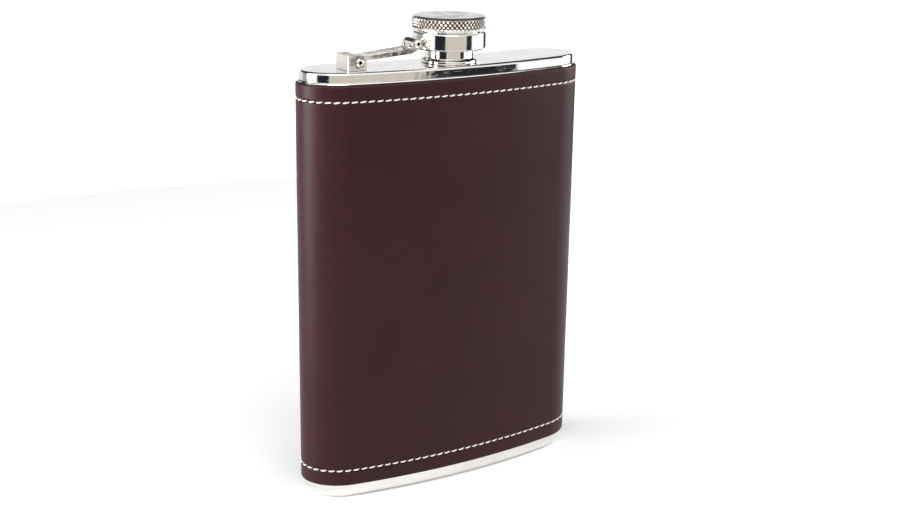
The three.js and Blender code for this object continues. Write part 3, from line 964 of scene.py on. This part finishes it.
ARM_WIDTH = 6.4 * MM
rivet(LOWER_PIVOT, BRACKET_WIDTH, "lower_rivet", "flask", "lower_pin")
rivet(UPPER_PIVOT, ARM_WIDTH, "upper_rivet", "arm", "upper_pin")


# ---- arm ---------------------------------------------------------------------------------------
# A slim channel bent from sheet: a web on top, a flange down each side, and an eye for a pin at each end.

# the upper face of the web, and how far the sides hang down at its two ends
WEB_START = (-30.6, 3.66)
WEB_END = (-14.4, 5.09)
SIDE_LOW, SIDE_HIGH = 1.2, 1.5
ARM_EYE = 1.45
ARM_SHEET = 0.7
ARM_FOLD = 0.68 * MM
start_x, start_z = WEB_START
end_x, end_z = WEB_END
web_slope = (end_z - start_z) / (end_x - start_x)

arm = plate([
    *arc(*LOWER_PIVOT, ARM_EYE, 90, 342), (start_x + ARM_EYE, start_z + ARM_EYE * web_slope - SIDE_LOW),
    (end_x, end_z - SIDE_HIGH), *arc(*UPPER_PIVOT, ARM_EYE, -53, 165), WEB_END, WEB_START,
], ARM_WIDTH)
fold(arm, ARM_WIDTH, ARM_FOLD, lambda middle: abs(middle.x / MM - (start_x + end_x) / 2) < 0.1
     and middle.z > SHOULDER + (start_z + end_z - 0.2) / 2 * MM)
under_web = ARM_SHEET * math.hypot(1, web_slope)
left, right = LOWER_PIVOT[0] - 6, UPPER_PIVOT[0] + 5
floor, roof = LOWER_PIVOT[1] - 6, UPPER_PIVOT[1] + 6
channel = plate([
    (left, floor), (right, floor), (right, roof), (end_x, roof), (end_x, end_z - under_web),
    (start_x, start_z - under_web), (start_x, roof), (left, roof),
], ARM_WIDTH - 2 * ARM_SHEET * MM)
cut(arm, channel)
drill(arm, LOWER_PIVOT, LOOSE_HOLE)
drill(arm, UPPER_PIVOT, TIGHT_HOLE)
bevelled(arm, EDGE_BREAK, 2)
smooth(arm)
fit(arm, "channel_arm", "arm", "polished_steel", hinge_steel, "arm")


# ---- collar ------------------------------------------------------------------------------------
# A polished turned ring that the cap turns in, with a lug at its left between the eyes of the arm.

LUG_WIDTH = 4.2 * MM
LUG_EYE = 1.45
LUG_ROOT = -10.2
collar = turned(closed(above_shoulder([
    (10.0, 4.2), (10.5, 4.2), (10.9, 4.6), (10.9, 8.85), (10.55, 9.2), (9.3, 9.2), (9.3, 5.65), (10.0, 5.65),
])), steps=144)
lug_x, lug_z = UPPER_PIVOT
lug = plate([(LUG_ROOT, lug_z - LUG_EYE), (LUG_ROOT, lug_z + LUG_EYE), *arc(lug_x, lug_z, LUG_EYE, 90, 270)],
            LUG_WIDTH)
cut(collar, lug, "UNION")
drill(collar, UPPER_PIVOT, LOOSE_HOLE)
bevelled(collar, 0.1 * MM, 2)
smooth(collar)
fit(collar, "collar_ring", "collar", "turned_steel", turned_steel, "collar")


# ---- cap ---------------------------------------------------------------------------------------
# The knurled head is pressed on a threaded barrel, which turns in the collar. A spring ring under the collar
# keeps them together, and a silicone disc inside seals the mouth of the spout.

KNURLS = 54
KNURL_DEPTH = 0.42 * MM
KNURL_LOW, KNURL_HIGH = 10.3, 13.2
KNURL_TALL = 1.5  # one diamond, which is a little taller than wide
KNURL_STEPS = 8
KNURL_FADE = 0.25
HEAD = 11.0
HEAD_INSIDE = 8.0

knurl_rows = round((KNURL_HIGH - KNURL_LOW) / KNURL_TALL * KNURL_STEPS)
band = [(HEAD, KNURL_LOW + (KNURL_HIGH - KNURL_LOW) * k / knurl_rows) for k in range(knurl_rows + 1)]
head = turned(above_shoulder([
    (0, 12.5), (HEAD_INSIDE, 12.5), (HEAD_INSIDE, 9.7), (10.4, 9.7), (10.58, 9.76), (10.62, 9.86),
    (10.62, 10.12), (10.8, 10.22), *band, (10.85, 13.28), (10.55, 13.5), (10.1, 13.62), (9.6, 13.66),
    (6, 13.69), (0, 13.7),
]), steps=KNURLS * KNURL_STEPS)
for vertex in head.data.vertices:
    offset = vertex.co - NECK_AXIS
    radius, height = math.hypot(offset.x, offset.y), (offset.z - SHOULDER) / MM
    if radius > (HEAD - 0.05) * MM:
        turns = math.atan2(offset.y, offset.x) / (2 * math.pi) * KNURLS
        rise = (height - KNURL_LOW) / KNURL_TALL
        ridges = [abs((turns + way * rise) % 1 - 0.5) * 2 for way in (1, -1)]
        depth = 1 - 0.5 * min(ridges) - 0.25 * sum(ridges)
        ends = min(1, (height - KNURL_LOW) / KNURL_FADE, (KNURL_HIGH - height) / KNURL_FADE)
        scale = 1 - KNURL_DEPTH * depth * max(0, ends) / radius
        vertex.co = NECK_AXIS + Vector((offset.x * scale, offset.y * scale, offset.z))
head.data.materials.append(satin_steel)
head.data.materials.append(knurled_steel)
for face in head.data.polygons:
    if KNURL_LOW < (face.center.z - SHOULDER) / MM < KNURL_HIGH and face.normal.z ** 2 < 0.9:
        offset = face.center - NECK_AXIS
        face.material_index = 1 if math.hypot(offset.x, offset.y) > (HEAD_INSIDE + 1) * MM else 0
smooth(head, 24)
fit(head, "knurled_head", "cap", "turned_steel", satin_steel, "cap_head")

barrel = turned(above_shoulder([
    (0, 9.4), (7.75, 9.4), (7.75, 4.45), (9.0, 4.45), (9.0, 4.95), (8.4, 4.95), (8.4, 5.55), (9.0, 5.55),
    (9.0, 9.65), (7.95, 9.65), (7.95, 12.45), (0, 12.45),
]))
bevelled(barrel, 0.1 * MM, 2)
smooth(barrel)
join(barrel, screw_ridge(7.77 * MM, 7.35 * MM, SHOULDER + 4.75 * MM, THREAD_TURNS, THREAD_PITCH))
fit(barrel, "threaded_barrel", "cap", "plain_steel", turned_steel, "cap_barrel")

ring = new_piece(bpy.ops.mesh.primitive_plane_add, size=MM)
ring_corners = ((8.5, 5.05), (9.75, 5.05), (8.5, 5.45), (9.75, 5.45))
for vertex, (radius, height) in zip(ring.data.vertices, ring_corners):
    vertex.co = (radius * MM, 0, SHOULDER + height * MM)
RING_MOUTH = math.radians(32)
edit(ring)
bpy.ops.mesh.select_all(action="SELECT")
bpy.ops.transform.translate(value=NECK_AXIS)
pick(ring, "FACE", lambda face, middle: True)
bpy.ops.mesh.spin(steps=64, angle=2 * math.pi - RING_MOUTH, center=NECK_AXIS, axis=(0, 0, 1))
bpy.ops.mesh.select_all(action="SELECT")
bpy.ops.mesh.remove_doubles(threshold=1e-6)
bpy.ops.mesh.normals_make_consistent(inside=False)
done()
bevelled(ring, 0.06 * MM, 2)
smooth(ring)
fit(ring, "spring_ring", "cap", "plain_steel", drawn_steel, "retaining_ring")

silicone, nodes, place = finish("milky_silicone")
milk = clouds(nodes, place, 300, detail=2.0)
surface(nodes, {
    "Base Color": nodes.blend(milk, (0.66, 0.67, 0.64, 1), (0.76, 0.76, 0.73, 1)),
    "Roughness": 0.45 + milk * 0.2, "Subsurface Weight": 0.1,
    "Normal": bump(nodes, milk, 0.00002)})
seal = turned(above_shoulder([
    (0, 8.15), (5.2, 8.15), (5.4, 8.3), (6.0, 8.3), (6.2, 8.15), (6.9, 8.2), (6.9, 9.35), (0, 9.35),
]))
smooth(seal)
fit(seal, "silicone_seal", "cap", "seal", silicone, "cap_seal")
